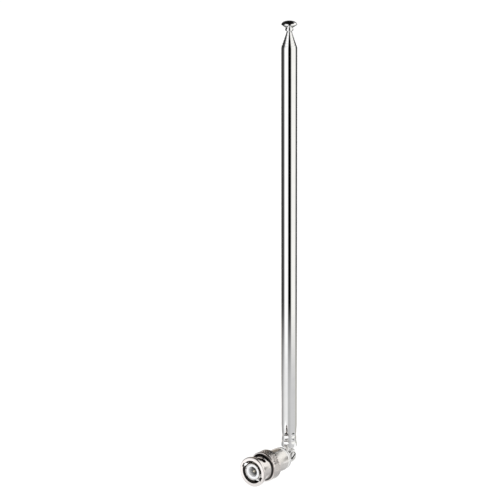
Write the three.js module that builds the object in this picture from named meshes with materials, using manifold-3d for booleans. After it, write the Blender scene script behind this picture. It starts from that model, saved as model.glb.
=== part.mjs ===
// Telescopic whip aerial: a seven-section drawn-tube mast, an elbow with a friction screw, and a
// bayonet coaxial plug with a sprung, free-turning coupling nut.
// Millimetres, +Z up. The plug's axis is Y and its mouth faces -Y; the folded mast stands along +Z.
// The origin is on the plug's axis, in the plane of the outer contact's front edge.

import * as THREE from 'three';
import { mergeVertices } from 'three/addons/utils/BufferGeometryUtils.js';
import Module from 'manifold-3d';

const wasm = await Module();
wasm.setup();

// ---- Driving dimensions: mast ----
const SECTIONS = 7;
const MAST_DIAMETER = 7.2;
const TUBE_LENGTH = 189.3;
const OUTER_WALL = 0.3;
const TUBE_WALL = 0.22;
const SLIDE_GAP = 0.18;
const SHOULDER_HEIGHT = 1.18;
const LIP_CLEARANCE = 0.05;
const LIP_LAND = 0.17;
const SPRING_LENGTH = 20;
const SPRING_THICKNESS = 0.12;
const SPRING_SEAT_DEPTH = 0.06;
const SPRING_OPENING = 40;
const END_LIP_HEIGHT = 1.2;
const SECTION_FLOOR_GAP = 1;
const BUTTON_DIAMETER = 7.15;
const BUTTON_EDGE = 0.4;
const BUTTON_CROWN = 1.5;
const BUTTON_UNDERCUT = 1.3;
const BEAD_DIAMETER = 3.7;
const BEAD_HEIGHT = 1.6;
const BUTTON_SEAT_LAND = 0.3;
const BUTTON_SHANK = 6;
const BUTTON_SHANK_DIAMETER = 1.34;

// ---- Driving dimensions: mast foot and elbow ----
const FOOT_LENGTH = 9.6;
const CRIMP_ROWS = 2;
const CRIMPS_PER_ROW = 6;
const CRIMP_FIRST_HEIGHT = 2.9;
const CRIMP_ROW_PITCH = 3;
const CRIMP_DEPTH = 0.2;
const CRIMP_BALL = 5;
const CRIMP_ANGLE = -77;
const WAIST_DEPTH = 0.2;
const WAIST_START = 1.6;
const WAIST_FLOOR = [3.9, 6.2];
const WAIST_END = 9.2;
const TONGUE_THICKNESS = 2;
const TONGUE_EYE = 5.8;
const TONGUE_NECK = 2.8;
const ELBOW_SIDE_CLEARANCE = 0.05;
const YOKE_HEAD_DIAMETER = 7;
const YOKE_ACROSS_FLATS = 4.4;
const YOKE_NECK_DIAMETER = 5.4;
const YOKE_DISC_THICKNESS = 1.1;
const YOKE_REACH = 5.3;
const YOKE_STUD_DIAMETER = 3.5;
const STUD_SOCKET_DEPTH = 2.4;
const SLOT_FLOOR_CLEARANCE = 0.35;
const FOOT_CLEARANCE = 1.1;
const SCREW_DIAMETER = 2.5;
const SCREW_END_BREAK = 0.25;
const SCREW_HEAD_DIAMETER = 3.9;
const SCREW_HEAD_HEIGHT = 0.65;
const SCREW_SLOT_WIDTH = 0.9;
const SCREW_SLOT_DEPTH = 0.4;
const SCREW_SLOT_ANGLE = 56;

// ---- Driving dimensions: plug ----
const CONTACT_SETBACK = 0.15;
const CONTACT_DIAMETER = 8.1;
const CONTACT_WALL = 0.35;
const CONTACT_SLOTS = 6;
const CONTACT_SLOT_WIDTH = 0.35;
const CONTACT_SEAT = 1.9;
const JACK_SPACE = 0.85;
const NUT_LENGTH = 13.2;
const NECK_WALL = 0.75;
const MOUTH_STEP = 0.55;
const MOUTH_DEPTH = 1.5;
const MOUTH_RIM = 1.6;
const RIM_WIDTH = 1.6;
const LUG_TRACK_WIDTH = 2.2;
const LUG_TRACK_DEPTH = 1.05;
const LUG_TRACK_TURN = 97;
const LUG_TRACK_ANGLE = 154;
const LUG_TRACK_START = 2.7;
const LUG_TRACK_END = 5;
const SHOULDER_WIDTH = 1.4;
const KNURL_WIDTH = 5;
const REAR_BORE_STEP = 1;
const REAR_WALL = 1.25;
const BODY_DIAMETER = 11;
const BODY_LENGTH = 7.9;
const SHELL_NECK_WALL = 0.67;
const FLANGE_SETBACK = 0.6;
const FLANGE_THICKNESS = 1.3;
const SHELL_WEB = 1;
const INSULATOR_WALL = 1.2;
const INSULATOR_SETBACK = 0.3;
const INSULATOR_WEB = 0.4;
const INSULATOR_TAIL = 1.4;
const PIN_SETBACK = 0.9;
const PIN_NOSE = 0.7;
const PIN_DIAMETER = 1.35;
const PIN_BACK_DIAMETER = 1.9;
const PIN_TAIL_DIAMETER = 1.2;
const PIN_TAIL_REACH = 1.8;
const GASKET_THICKNESS = 1.9;
const GASKET_FLOOR_GAP = 0.4;
const WAVE_WASHER_HEIGHT = 1.4;
const WAVE_WASHER_THICKNESS = 0.3;
const WASHER_THICKNESS = 0.4;
const RING_THICKNESS = 0.5;
const RING_GROOVE_DEPTH = 0.3;
const RING_OPENING = 30;
const BUSH_BORE_DIAMETER = 7.2;
const BUSH_FLOOR = 1.5;
const BUSH_FLANGE_THICKNESS = 1.1;
const FLANGE_EDGE_SETBACK = 0.2;

// ---- Fits ----
const SEAT_GAP = 0.03;
const FACE_GAP = 0.05;
const TURN_GAP = 0.12;
const TAIL_GAP = 0.3;
const EDGE_BREAK = 0.3;

const MAST_FACETS = 24;
const PLUG_FACETS = 40;

const chrome = { color: 0xd9dadc, roughness: 0.08, metalness: 1 };
const nickel = { color: 0xcfcac2, roughness: 0.24, metalness: 1 };
const bronze = { color: 0xb98a5a, roughness: 0.35, metalness: 1 };
const gold = { color: 0xd2c09a, roughness: 0.2, metalness: 1 };
const steel = { color: 0xa9aaab, roughness: 0.3, metalness: 1 };
const fluoroplastic = { color: 0xe9e7ee, roughness: 0.45, metalness: 0 };
const nylon = { color: 0xe6e4de, roughness: 0.5, metalness: 0 };
const silicone = { color: 0x7c2a1d, roughness: 0.7, metalness: 0 };

const aerial = new THREE.Group();

function addPiece(name, geometry, finish, parent) {
  const mesh = new THREE.Mesh(geometry, new THREE.MeshStandardMaterial(finish));
  mesh.name = name;
  parent.add(mesh);
  return mesh;
}

// A solid of revolution about Y from [radius, height] pairs; a profile off the axis is closed here.
function turned(profile, facets) {
  const points = profile.map(([radius, height]) => new THREE.Vector2(radius, height));
  const onAxis = points[0].x === 0 && points[points.length - 1].x === 0;
  if (!onAxis) {
    points.push(points[0].clone());
  }
  let area = 0;
  for (let i = 0; i < points.length; i += 1) {
    const next = points[(i + 1) % points.length];
    area += points[i].x * next.y - next.x * points[i].y;
  }
  if (area < 0) {
    points.reverse();
  }
  return new THREE.LatheGeometry(points, facets);
}

// Closed triangle mesh to a boolean solid: shared corners are merged, slivers on the axis dropped.
function toSolid(geometry) {
  const bare = geometry.clone();
  bare.deleteAttribute('normal');
  bare.deleteAttribute('uv');
  const merged = mergeVertices(bare, 1e-4);
  const corners = merged.index.array;
  const kept = [];
  for (let i = 0; i < corners.length; i += 3) {
    const [a, b, c] = [corners[i], corners[i + 1], corners[i + 2]];
    if (a !== b && b !== c && c !== a) {
      kept.push(a, b, c);
    }
  }
  return new wasm.Manifold(new wasm.Mesh({
    numProp: 3,
    vertProperties: Float32Array.from(merged.attributes.position.array),
    triVerts: Uint32Array.from(kept),
  }));
}

function toGeometry(solid) {
  const mesh = solid.getMesh();
  const geometry = new THREE.BufferGeometry();
  geometry.setAttribute('position', new THREE.BufferAttribute(mesh.vertProperties, 3));
  geometry.setIndex(new THREE.BufferAttribute(mesh.triVerts, 1));
  return geometry;
}

// A ring with a gap in it, cut from strip, lying in the XY plane and thick along Z.
function splitRing(innerRadius, outerRadius, thickness, openingDegrees, facets) {
  const half = THREE.MathUtils.degToRad(openingDegrees) / 2;
  const step = (2 * Math.PI) / facets;
  const outline = [];
  const angles = [half];
  for (let i = Math.ceil(half / step); i * step < 2 * Math.PI - half; i += 1) {
    if (i * step > half) {
      angles.push(i * step);
    }
  }
  angles.push(2 * Math.PI - half);
  for (const angle of angles) {
    const edge = facetRadius(outerRadius, angle, step);
    outline.push(new THREE.Vector2(edge * Math.cos(angle), edge * Math.sin(angle)));
  }
  for (const angle of angles.reverse()) {
    const edge = facetRadius(innerRadius, angle, step);
    outline.push(new THREE.Vector2(edge * Math.cos(angle), edge * Math.sin(angle)));
  }
  const shape = new THREE.Shape(outline);
  return new THREE.ExtrudeGeometry(shape, { depth: thickness, bevelEnabled: false });
}

// Distance from the axis to the flat-sided ring at an angle, so that a cut end stays on its facet.
function facetRadius(radius, angle, step) {
  const fromCorner = angle - Math.round(angle / step) * step;
  const toMiddle = step / 2 - Math.abs(fromCorner);
  return (radius * Math.cos(step / 2)) / Math.cos(toMiddle);
}

// ---- Places along the plug's axis, front to rear ----
const nutFront = -CONTACT_SETBACK;
const nutRear = nutFront + NUT_LENGTH;
const knurlFront = nutRear - KNURL_WIDTH;
const flangeFront = knurlFront + FLANGE_SETBACK;
const flangeRear = flangeFront + FLANGE_THICKNESS;
const waveFront = flangeRear + FACE_GAP;
const washerFront = waveFront + WAVE_WASHER_HEIGHT + FACE_GAP;
const ringFront = washerFront + WASHER_THICKNESS + FACE_GAP;
const bodyFront = nutRear + TAIL_GAP;
const bodyRear = bodyFront + BODY_LENGTH;
const contactRear = flangeFront + CONTACT_SEAT;
const insulatorRear = contactRear + INSULATOR_TAIL;
const bushSeat = insulatorRear + SHELL_WEB;
const bushFlangeFront = bodyRear + FACE_GAP;
const bushFlangeRear = bushFlangeFront + BUSH_FLANGE_THICKNESS;
const discFront = bushFlangeRear + FACE_GAP;
const discRear = discFront + YOKE_DISC_THICKNESS;
const pinAxis = discRear + YOKE_REACH;
const studFront = bushSeat + BUSH_FLOOR;
const gasketFront = flangeFront - GASKET_THICKNESS;
const mouthFloor = gasketFront - GASKET_FLOOR_GAP;

// ---- Radii of the plug, from the outer contact outwards ----
const contactRadius = CONTACT_DIAMETER / 2;
const contactBore = contactRadius - CONTACT_WALL;
const insulatorRadius = contactBore - SEAT_GAP;
const insulatorMouth = insulatorRadius - INSULATOR_WALL;
const shellNeck = contactRadius + SHELL_NECK_WALL;
const nutBore = contactRadius + JACK_SPACE;
const nutMouth = nutBore + MOUTH_STEP;
const neckRadius = nutBore + NECK_WALL;
const rimRadius = nutMouth + MOUTH_RIM;
const trackRadius = nutBore + LUG_TRACK_DEPTH;
const rearBore = nutBore + REAR_BORE_STEP;
const knurlRadius = rearBore + REAR_WALL;
const flangeRadius = rearBore - TURN_GAP;
const bushFlangeRadius = BODY_DIAMETER / 2 - FLANGE_EDGE_SETBACK;

// ---- Plug body: a turned shell that carries the outer contact and is the fixed half ----
function plugShell() {
  const seat = contactRadius + SEAT_GAP;
  const insulatorSeat = contactBore;
  const passage = PIN_BACK_DIAMETER;
  const neck = shellNeck;
  const body = BODY_DIAMETER / 2;
  return turned([
    [seat, flangeFront],
    [flangeRadius, flangeFront],
    [flangeRadius, flangeRear],
    [neck, flangeRear],
    [neck, bodyFront],
    [body - EDGE_BREAK, bodyFront],
    [body, bodyFront + EDGE_BREAK],
    [body, bodyRear - EDGE_BREAK],
    [body - EDGE_BREAK, bodyRear],
    [BUSH_BORE_DIAMETER / 2, bodyRear],
    [BUSH_BORE_DIAMETER / 2, bushSeat],
    [passage, bushSeat],
    [passage, insulatorRear + FACE_GAP],
    [insulatorSeat, insulatorRear + FACE_GAP],
    [insulatorSeat, contactRear + FACE_GAP],
    [seat, contactRear + FACE_GAP],
  ], PLUG_FACETS);
}

function outerContact() {
  const sleeve = toSolid(turned([
    [contactBore, 0],
    [contactRadius - CONTACT_WALL / 3, 0],
    [contactRadius, CONTACT_WALL],
    [contactRadius, contactRear],
    [contactBore, contactRear],
  ], PLUG_FACETS));
  const slotLength = mouthFloor;
  let slotted = sleeve;
  for (let i = 0; i < CONTACT_SLOTS / 2; i += 1) {
    const saw = new THREE.BoxGeometry(2 * CONTACT_DIAMETER, 2 * slotLength, CONTACT_SLOT_WIDTH);
    saw.rotateY(((i + 0.25) * 2 * Math.PI) / CONTACT_SLOTS);
    slotted = slotted.subtract(toSolid(saw));
  }
  return toGeometry(slotted);
}

function frontInsulator() {
  const front = INSULATOR_SETBACK;
  return turned([
    [insulatorMouth, front],
    [insulatorRadius - SEAT_GAP, front],
    [insulatorRadius, front + SEAT_GAP],
    [insulatorRadius, insulatorRear],
    [PIN_BACK_DIAMETER / 2 + SEAT_GAP, insulatorRear],
    [PIN_BACK_DIAMETER / 2 + SEAT_GAP, mouthFloor + INSULATOR_WEB],
    [PIN_DIAMETER / 2 + SEAT_GAP, mouthFloor + INSULATOR_WEB],
    [PIN_DIAMETER / 2 + SEAT_GAP, mouthFloor],
    [insulatorMouth, mouthFloor],
  ], PLUG_FACETS);
}

function centreContact() {
  const shoulder = mouthFloor + INSULATOR_WEB + SEAT_GAP;
  const back = insulatorRear + SHELL_WEB / 5;
  const tail = studFront + PIN_TAIL_REACH;
  return turned([
    [0, PIN_SETBACK],
    [PIN_DIAMETER / 4, PIN_SETBACK],
    [PIN_DIAMETER / 2, PIN_SETBACK + PIN_NOSE],
    [PIN_DIAMETER / 2, shoulder],
    [PIN_BACK_DIAMETER / 2, shoulder],
    [PIN_BACK_DIAMETER / 2, back],
    [PIN_TAIL_DIAMETER / 2, back],
    [PIN_TAIL_DIAMETER / 2, tail],
    [0, tail],
  ], 16);
}

function gasket() {
  const inner = contactRadius + SEAT_GAP;
  const outer = nutBore - TURN_GAP;
  const rear = flangeFront - FACE_GAP;
  return turned([
    [inner, gasketFront],
    [outer - TURN_GAP, gasketFront],
    [outer, gasketFront + TURN_GAP],
    [outer, rear],
    [inner, rear],
  ], PLUG_FACETS);
}

// A flat spring washer pressed into three waves: each corner's height follows a cosine of its angle.
function waveWasher() {
  const waves = 3;
  const inner = shellNeck + TURN_GAP;
  const outer = flangeRadius;
  const lift = (WAVE_WASHER_HEIGHT - WAVE_WASHER_THICKNESS) / 2;
  const ring = turned([
    [inner, 0],
    [outer, 0],
    [outer, WAVE_WASHER_THICKNESS],
    [inner, WAVE_WASHER_THICKNESS],
  ], 36);
  const corners = ring.attributes.position;
  for (let i = 0; i < corners.count; i += 1) {
    const angle = Math.atan2(corners.getX(i), corners.getZ(i));
    const height = waveFront + lift * (1 + Math.cos(waves * angle));
    corners.setY(i, corners.getY(i) + height);
  }
  return ring;
}

function thrustWasher() {
  const inner = shellNeck + TURN_GAP;
  return turned([
    [inner, washerFront],
    [flangeRadius, washerFront],
    [flangeRadius, washerFront + WASHER_THICKNESS],
    [inner, washerFront + WASHER_THICKNESS],
  ], PLUG_FACETS);
}

// ---- Coupling nut: one turned piece with two lug tracks cut through the neck ----
// A track's cutter is a box bent round the axis, an entry slot through the rim and a round detent.
function lugTrack(startAngle) {
  const inside = (contactRadius + nutBore) / 2;
  const outside = rimRadius + EDGE_BREAK;
  const steps = 9;
  const track = new THREE.BoxGeometry(1, 1, 1, steps, 1, 1);
  const corners = track.attributes.position;
  const turn = THREE.MathUtils.degToRad(LUG_TRACK_TURN);
  const start = THREE.MathUtils.degToRad(startAngle);
  for (let i = 0; i < corners.count; i += 1) {
    const along = corners.getX(i) + 0.5;
    const across = corners.getY(i) * LUG_TRACK_WIDTH;
    const radius = inside + (corners.getZ(i) + 0.5) * (outside - inside);
    const angle = start - along * turn;
    const middle = LUG_TRACK_START + along * (LUG_TRACK_END - LUG_TRACK_START);
    corners.setXYZ(i, radius * Math.cos(angle), nutFront + middle + across, radius * Math.sin(angle));
  }
  const entry = new THREE.BoxGeometry(trackRadius, 2 * LUG_TRACK_START, LUG_TRACK_WIDTH);
  entry.translate(trackRadius / 2, nutFront, 0);
  entry.rotateY(-start);
  const detent = new THREE.CylinderGeometry(LUG_TRACK_WIDTH / 2, LUG_TRACK_WIDTH / 2, outside - inside, 12);
  detent.rotateZ(Math.PI / 2);
  detent.translate((inside + outside) / 2, nutFront + LUG_TRACK_END, 0);
  detent.rotateY(-(start - turn));
  return toSolid(track).add(toSolid(entry)).add(toSolid(detent));
}

function couplingNut() {
  const groove = rearBore + RING_GROOVE_DEPTH;
  const rimRear = nutFront + RIM_WIDTH;
  const shoulderFront = knurlFront - SHOULDER_WIDTH;
  const rise = knurlRadius - neckRadius;
  const blank = toSolid(turned([
    [nutMouth, nutFront],
    [rimRadius - EDGE_BREAK, nutFront],
    [rimRadius, nutFront + EDGE_BREAK],
    [rimRadius, rimRear - EDGE_BREAK],
    [rimRadius - EDGE_BREAK, rimRear],
    [neckRadius, rimRear],
    [neckRadius, shoulderFront],
    [neckRadius + 0.4 * rise, shoulderFront + 0.7 * SHOULDER_WIDTH],
    [knurlRadius - EDGE_BREAK, knurlFront],
    [knurlRadius, knurlFront + EDGE_BREAK],
    [knurlRadius, nutRear - EDGE_BREAK],
    [knurlRadius - EDGE_BREAK, nutRear],
    [rearBore, nutRear],
    [rearBore, ringFront + RING_THICKNESS + FACE_GAP],
    [groove, ringFront + RING_THICKNESS + FACE_GAP],
    [groove, ringFront - FACE_GAP],
    [rearBore, ringFront - FACE_GAP],
    [rearBore, knurlFront],
    [nutBore, knurlFront],
    [nutBore, nutFront + MOUTH_DEPTH],
    [nutMouth, nutFront + MOUTH_DEPTH - MOUTH_STEP],
  ], PLUG_FACETS));
  const tracked = blank.subtract(lugTrack(LUG_TRACK_ANGLE)).subtract(lugTrack(LUG_TRACK_ANGLE - 180));
  return toGeometry(tracked);
}

function retainingRing() {
  const inner = shellNeck + 3 * TURN_GAP;
  const outer = rearBore + RING_GROOVE_DEPTH - FACE_GAP;
  const ring = splitRing(inner, outer, RING_THICKNESS, RING_OPENING, PLUG_FACETS);
  ring.rotateX(-Math.PI / 2);
  ring.translate(0, ringFront, 0);
  return ring;
}

// ---- Elbow: an insulating bush in the shell, and the live yoke whose stud runs through it ----
function insulatingBush() {
  const barrel = BUSH_BORE_DIAMETER / 2 - SEAT_GAP;
  const bore = YOKE_STUD_DIAMETER / 2 + SEAT_GAP;
  return turned([
    [bore, bushSeat + FACE_GAP],
    [barrel, bushSeat + FACE_GAP],
    [barrel, bushFlangeFront],
    [bushFlangeRadius, bushFlangeFront],
    [bushFlangeRadius, bushFlangeRear],
    [bore, bushFlangeRear],
  ], PLUG_FACETS);
}

const slotHalf = TONGUE_THICKNESS / 2 + ELBOW_SIDE_CLEARANCE;
const slotFloor = pinAxis - TONGUE_EYE / 2 - SLOT_FLOOR_CLEARANCE;

function yoke() {
  const head = YOKE_HEAD_DIAMETER / 2;
  const neck = YOKE_NECK_DIAMETER / 2;
  const stud = YOKE_STUD_DIAMETER / 2;
  const socket = PIN_TAIL_DIAMETER / 2 + SEAT_GAP;
  const joinAngle = Math.asin(neck / head);
  const rounds = 9;
  const profile = [
    [0, studFront + STUD_SOCKET_DEPTH],
    [socket, studFront + STUD_SOCKET_DEPTH],
    [socket, studFront],
    [stud, studFront],
    [stud, discFront],
    [bushFlangeRadius, discFront],
    [bushFlangeRadius, discRear - EDGE_BREAK],
    [bushFlangeRadius - EDGE_BREAK, discRear],
    [neck, discRear],
  ];
  for (let i = 0; i <= rounds; i += 1) {
    const angle = joinAngle + ((Math.PI - joinAngle) * i) / rounds;
    const radius = i === rounds ? 0 : head * Math.sin(angle);
    profile.push([radius, pinAxis - head * Math.cos(angle)]);
  }
  let solid = toSolid(turned(profile, PLUG_FACETS));
  const flatCut = new THREE.BoxGeometry(head, 2 * head, 2 * YOKE_HEAD_DIAMETER);
  const slotDepth = YOKE_REACH + head;
  for (const side of [-1, 1]) {
    const cutter = flatCut.clone();
    cutter.translate(side * (YOKE_ACROSS_FLATS / 2 + head / 2), pinAxis, 0);
    solid = solid.subtract(toSolid(cutter));
  }
  const slot = new THREE.BoxGeometry(2 * slotHalf, slotDepth, 2 * YOKE_HEAD_DIAMETER);
  slot.translate(0, slotFloor + slotDepth / 2, 0);
  const hole = new THREE.CylinderGeometry(
    SCREW_DIAMETER / 2 + SEAT_GAP, SCREW_DIAMETER / 2 + SEAT_GAP, 2 * YOKE_HEAD_DIAMETER, 20,
  );
  hole.rotateZ(Math.PI / 2);
  hole.translate(0, pinAxis, 0);
  return toGeometry(solid.subtract(toSolid(slot)).subtract(toSolid(hole)));
}

function hingeScrew() {
  const seat = YOKE_ACROSS_FLATS / 2 + SEAT_GAP;
  const head = SCREW_HEAD_DIAMETER / 2;
  const screw = turned([
    [0, -YOKE_ACROSS_FLATS / 2],
    [SCREW_DIAMETER / 2 - SCREW_END_BREAK, -YOKE_ACROSS_FLATS / 2],
    [SCREW_DIAMETER / 2, -YOKE_ACROSS_FLATS / 2 + SCREW_END_BREAK],
    [SCREW_DIAMETER / 2, seat],
    [head, seat],
    [head, seat + 0.55 * SCREW_HEAD_HEIGHT],
    [0.75 * head, seat + 0.9 * SCREW_HEAD_HEIGHT],
    [0, seat + SCREW_HEAD_HEIGHT],
  ], 20);
  const slot = new THREE.BoxGeometry(2 * SCREW_HEAD_DIAMETER, 2 * SCREW_SLOT_DEPTH, SCREW_SLOT_WIDTH);
  slot.rotateY(THREE.MathUtils.degToRad(90 - SCREW_SLOT_ANGLE));
  slot.translate(0, seat + SCREW_HEAD_HEIGHT, 0);
  const solid = toGeometry(toSolid(screw).subtract(toSolid(slot)));
  solid.rotateX(Math.PI / 2);
  solid.rotateY(Math.PI / 2);
  solid.rotateX(Math.PI / 2);
  solid.translate(0, pinAxis, 0);
  return solid;
}

// ---- Mast: heights are above the elbow's pin, radii from the driving diameter inwards ----
const tubeBottom = YOKE_HEAD_DIAMETER / 2 + FOOT_CLEARANCE;
const shoulderBase = tubeBottom + TUBE_LENGTH;
const sectionFloor = tubeBottom + FOOT_LENGTH + SECTION_FLOOR_GAP;
const sectionRadius = (index) => MAST_DIAMETER / 2 - index * (TUBE_WALL + SLIDE_GAP)
  - (index > 0 ? OUTER_WALL - TUBE_WALL : 0);
const shoulderAt = (index) => shoulderBase + index * SHOULDER_HEIGHT;
const springStandoff = SPRING_THICKNESS - SPRING_SEAT_DEPTH;

// The crimped foot is drawn in to a slight waist: depth of it at each height above the tube's end.
const waist = [
  [0, WAIST_START],
  [WAIST_DEPTH, WAIST_FLOOR[0]],
  [WAIST_DEPTH, WAIST_FLOOR[1]],
  [0, WAIST_END],
];

function outerTube() {
  const radius = MAST_DIAMETER / 2;
  const inner = radius - OUTER_WALL;
  const next = sectionRadius(1);
  const top = shoulderAt(1) - FACE_GAP;
  const outside = waist.map(([depth, height]) => [radius - depth, tubeBottom + height]);
  const inside = waist.map(([depth, height]) => [inner - depth, tubeBottom + height]);
  let tube = toSolid(turned([
    [inner, tubeBottom],
    [radius, tubeBottom],
    ...outside,
    [radius, shoulderBase],
    [next + LIP_CLEARANCE + LIP_LAND, top],
    [next + LIP_CLEARANCE, top],
    [next + LIP_CLEARANCE, top - LIP_LAND],
    [inner, shoulderBase - LIP_LAND],
    ...inside.reverse(),
  ], MAST_FACETS));
  for (let row = 0; row < CRIMP_ROWS; row += 1) {
    const height = CRIMP_FIRST_HEIGHT + row * CRIMP_ROW_PITCH;
    const share = THREE.MathUtils.clamp((height - WAIST_START) / (WAIST_FLOOR[0] - WAIST_START), 0, 1);
    const surface = radius - share * WAIST_DEPTH;
    for (let i = 0; i < CRIMPS_PER_ROW; i += 1) {
      const ball = new THREE.SphereGeometry(CRIMP_BALL / 2, 12, 8);
      ball.translate(surface - CRIMP_DEPTH + CRIMP_BALL / 2, 0, 0);
      ball.rotateY(THREE.MathUtils.degToRad(CRIMP_ANGLE) - (i * 2 * Math.PI) / CRIMPS_PER_ROW);
      ball.translate(0, tubeBottom + height, 0);
      tube = tube.subtract(toSolid(ball));
    }
  }
  return toGeometry(tube);
}

function footPlug() {
  const radius = MAST_DIAMETER / 2 - OUTER_WALL - SEAT_GAP;
  const eye = TONGUE_EYE / 2;
  const neck = TONGUE_NECK / 2;
  const plug = toSolid(turned([
    [0, tubeBottom],
    [radius - EDGE_BREAK, tubeBottom],
    [radius, tubeBottom + EDGE_BREAK],
    ...waist.map(([depth, height]) => [radius - depth, tubeBottom + height]),
    [radius, tubeBottom + FOOT_LENGTH],
    [0, tubeBottom + FOOT_LENGTH],
  ], MAST_FACETS));
  const join = Math.acos(neck / eye) - 0.25;
  const root = tubeBottom + TONGUE_THICKNESS / 2;
  const outline = new THREE.Shape();
  outline.moveTo(neck, root);
  outline.lineTo(neck, eye);
  outline.lineTo(eye * Math.cos(join), eye * Math.sin(join));
  outline.absarc(0, 0, eye, join, Math.PI - join, true);
  outline.lineTo(-neck, eye);
  outline.lineTo(-neck, root);
  const hole = new THREE.Path();
  hole.absarc(0, 0, SCREW_DIAMETER / 2 + SEAT_GAP, 0, 2 * Math.PI, false);
  outline.holes.push(hole);
  const blade = new THREE.ExtrudeGeometry(outline, {
    depth: TONGUE_THICKNESS,
    bevelEnabled: false,
    curveSegments: 20,
  });
  blade.translate(0, 0, -TONGUE_THICKNESS / 2);
  blade.rotateY(Math.PI / 2);
  return toGeometry(plug.add(toSolid(blade)));
}

function innerTube(index) {
  const radius = sectionRadius(index);
  const next = sectionRadius(index + 1);
  const inner = radius - TUBE_WALL;
  const seat = radius - SPRING_SEAT_DEPTH;
  const lip = radius + springStandoff / 2;
  const seatBottom = sectionFloor + END_LIP_HEIGHT;
  const seatTop = seatBottom + SPRING_LENGTH + 2 * FACE_GAP;
  const top = shoulderAt(index + 1) - FACE_GAP;
  return turned([
    [seat - TUBE_WALL, sectionFloor],
    [lip, sectionFloor],
    [lip, seatBottom],
    [seat, seatBottom],
    [seat, seatTop],
    [radius, seatTop + SPRING_SEAT_DEPTH],
    [radius, shoulderAt(index)],
    [next + LIP_CLEARANCE + LIP_LAND, top],
    [next + LIP_CLEARANCE, top],
    [next + LIP_CLEARANCE, top - LIP_LAND],
    [inner, shoulderAt(index) - LIP_LAND],
    [inner, seatTop + TUBE_WALL],
    [seat - TUBE_WALL, seatTop],
  ], MAST_FACETS);
}

function tipRod() {
  const radius = sectionRadius(SECTIONS - 1);
  const seat = radius - SPRING_SEAT_DEPTH;
  const lip = radius + springStandoff / 2;
  const seatBottom = sectionFloor + END_LIP_HEIGHT;
  const seatTop = seatBottom + SPRING_LENGTH + 2 * FACE_GAP;
  const shank = BUTTON_SHANK_DIAMETER / 2;
  const top = shoulderAt(SECTIONS - 1) + FACE_GAP;
  return turned([
    [0, sectionFloor],
    [lip, sectionFloor],
    [lip, seatBottom],
    [seat, seatBottom],
    [seat, seatTop],
    [radius, seatTop + SPRING_SEAT_DEPTH],
    [radius, top],
    [shank + SEAT_GAP, top],
    [shank + SEAT_GAP, top - BUTTON_SHANK - FACE_GAP],
    [0, top - BUTTON_SHANK - FACE_GAP],
  ], MAST_FACETS);
}

function tipButton() {
  const radius = sectionRadius(SECTIONS - 1);
  const shank = BUTTON_SHANK_DIAMETER / 2;
  const seat = shoulderAt(SECTIONS - 1) + 2 * FACE_GAP;
  const bead = BEAD_DIAMETER / 2;
  const beadBottom = seat + BUTTON_SEAT_LAND;
  const beadTop = beadBottom + BEAD_HEIGHT;
  const edgeBottom = beadTop + BUTTON_UNDERCUT;
  const edgeTop = edgeBottom + BUTTON_EDGE;
  const button = BUTTON_DIAMETER / 2;
  const rounding = BUTTON_EDGE / 3;
  const profile = [
    [0, seat - BUTTON_SHANK],
    [shank, seat - BUTTON_SHANK],
    [shank, seat],
    [radius, seat],
    [radius, beadBottom],
    [bead - rounding, beadBottom + rounding],
    [bead, beadBottom + BEAD_HEIGHT / 2],
    [bead - 2 * rounding, beadTop],
    [button - rounding, edgeBottom],
    [button, edgeBottom + BUTTON_EDGE / 2],
    [button - rounding, edgeTop],
  ];
  const rounds = 4;
  for (let i = 1; i <= rounds; i += 1) {
    const angle = (Math.PI / 2) * (i / rounds);
    const across = i === rounds ? 0 : (button - rounding) * Math.cos(angle);
    profile.push([across, edgeTop + BUTTON_CROWN * Math.sin(angle)]);
  }
  return turned(profile, MAST_FACETS);
}

function frictionSpring(index) {
  const inner = sectionRadius(index) - SPRING_SEAT_DEPTH + SEAT_GAP / 2;
  const outer = inner + SPRING_THICKNESS - SEAT_GAP / 2;
  const ring = splitRing(inner, outer, SPRING_LENGTH, SPRING_OPENING, MAST_FACETS);
  ring.rotateX(-Math.PI / 2);
  ring.translate(0, sectionFloor + END_LIP_HEIGHT + FACE_GAP, 0);
  return ring;
}

// ---- Assembly ----
addPiece('plug_shell', plugShell(), nickel, aerial);
addPiece('outer_contact', outerContact(), nickel, aerial);
addPiece('front_insulator', frontInsulator(), fluoroplastic, aerial);
addPiece('centre_contact', centreContact(), gold, aerial);
addPiece('gasket', gasket(), silicone, aerial);
addPiece('wave_washer', waveWasher(), steel, aerial);
addPiece('thrust_washer', thrustWasher(), nickel, aerial);
addPiece('coupling_nut', couplingNut(), nickel, aerial);
addPiece('retaining_ring', retainingRing(), steel, aerial);
addPiece('insulating_bush', insulatingBush(), nylon, aerial);
addPiece('yoke', yoke(), nickel, aerial);
addPiece('hinge_screw', hingeScrew(), steel, aerial);

const mast = new THREE.Group();
mast.position.set(0, pinAxis, 0);
mast.rotation.x = Math.PI / 2;
aerial.add(mast);

addPiece('foot_plug', footPlug(), nickel, mast);
addPiece('tube_1', outerTube(), chrome, mast);
for (let index = 1; index < SECTIONS - 1; index += 1) {
  addPiece(`tube_${index + 1}`, innerTube(index), chrome, mast);
}
addPiece('tip_rod', tipRod(), chrome, mast);
addPiece('tip_button', tipButton(), chrome, mast);
for (let index = 1; index < SECTIONS; index += 1) {
  addPiece(`friction_spring_${index + 1}`, frictionSpring(index), bronze, mast);
}

export default aerial;
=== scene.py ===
import math

import bmesh
import bpy
from mathutils import Matrix, Vector


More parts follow.
